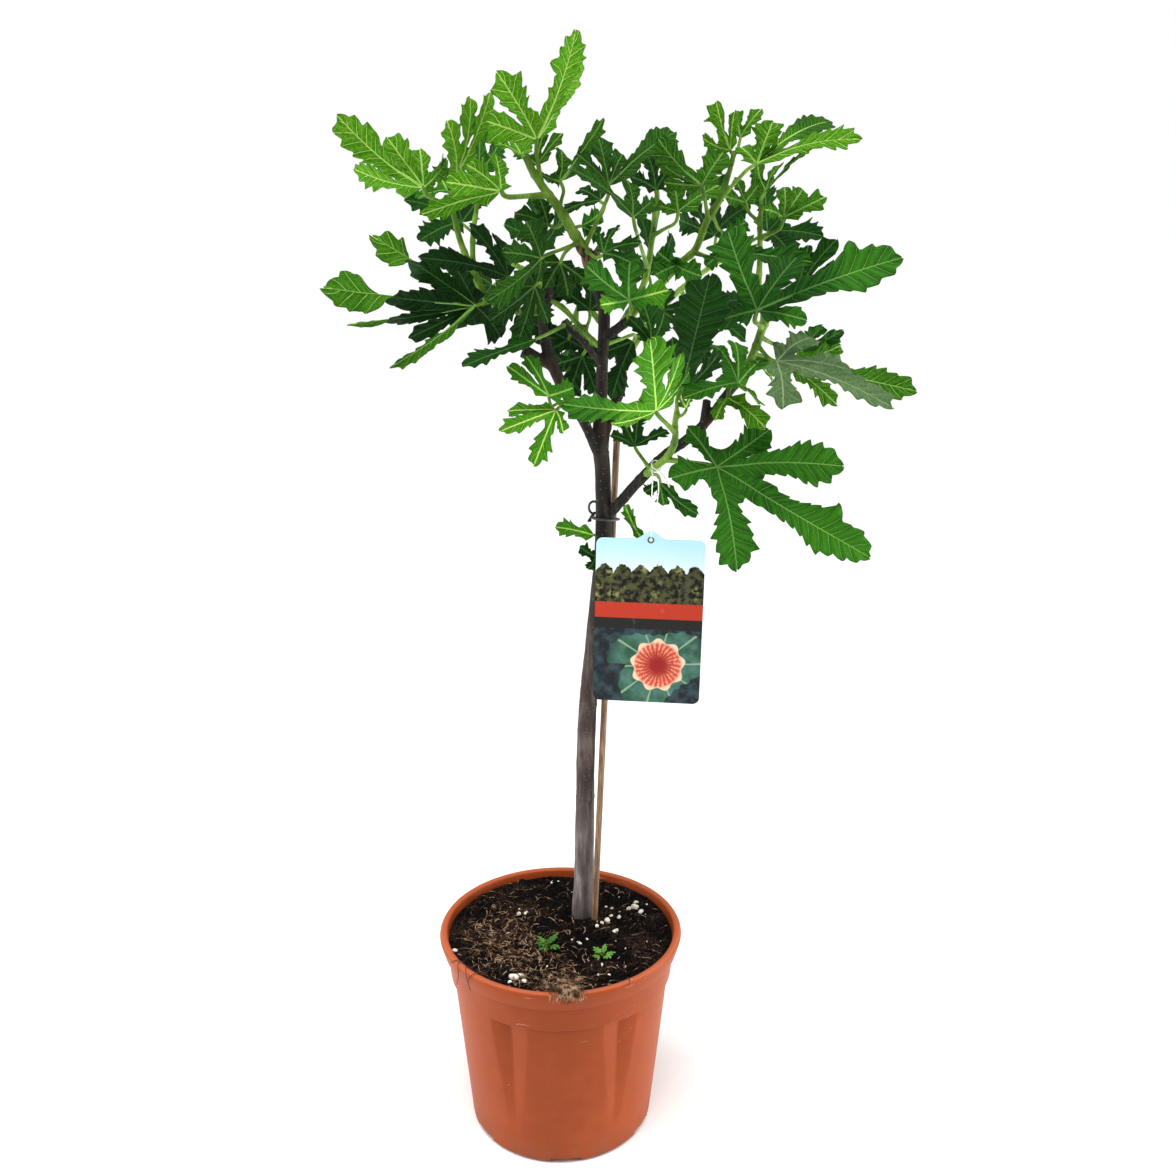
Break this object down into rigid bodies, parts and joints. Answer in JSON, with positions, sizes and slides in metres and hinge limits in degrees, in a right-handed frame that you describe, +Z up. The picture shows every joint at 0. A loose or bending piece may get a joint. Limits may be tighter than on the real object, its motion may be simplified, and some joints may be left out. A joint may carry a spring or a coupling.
{
  "type": "potted fig tree",
  "caption": "Young fig tree with deeply lobed toothed leaves on a slim woody trunk, tied to a cane, in a round fluted nursery pot of peat, with a hanging card label.",
  "frame": {"origin": "centre of the pot's flat base, on the surface that it stands on", "axes": "+Z up along the pot's axis, -Y towards the side that carries the label, +X to the right seen from there"},
  "size_m": [0.4289, 0.3456, 0.8922],
  "materials": {
    "terracotta_plastic": "satin moulded plastic, scuffed, dusted with soil",
    "peat": "loose dark peat with fibres",
    "bark": "smooth grey-brown bark, matte",
    "cane": "split bamboo cane, matte",
    "wire": "coated twist wire",
    "card": "printed plastic card",
    "thread": "white twisted thread",
    "seedling": "soft green sprig",
    "young_leaf": "thin living leaf, satin",
    "leaf": "thin living leaf, satin",
    "shade_leaf": "thin living leaf, satin, in shade"
  },
  "bodies": {
    "root": {"pot": "terracotta_plastic", "soil": "peat", "trunk": "bark", "stake": "cane", "tie": "wire", "label": "card", "label_string": "thread", "seedling_1": "seedling", "seedling_2": "seedling", "top_shoot": "young_leaf", "left_shoot": "young_leaf", "low_left_shoot": "leaf", "inner_shoot": "shade_leaf", "cross_leaf": "leaf", "middle_shoot": "leaf", "right_shoot": "young_leaf", "outer_shoot": "leaf", "lower_shoot": "leaf", "low_leaf_left": "leaf", "low_leaf_under": "leaf", "low_leaf_right": "leaf", "back_left_shoot": "shade_leaf", "back_right_shoot": "shade_leaf"}
  },
  "joints": []
}
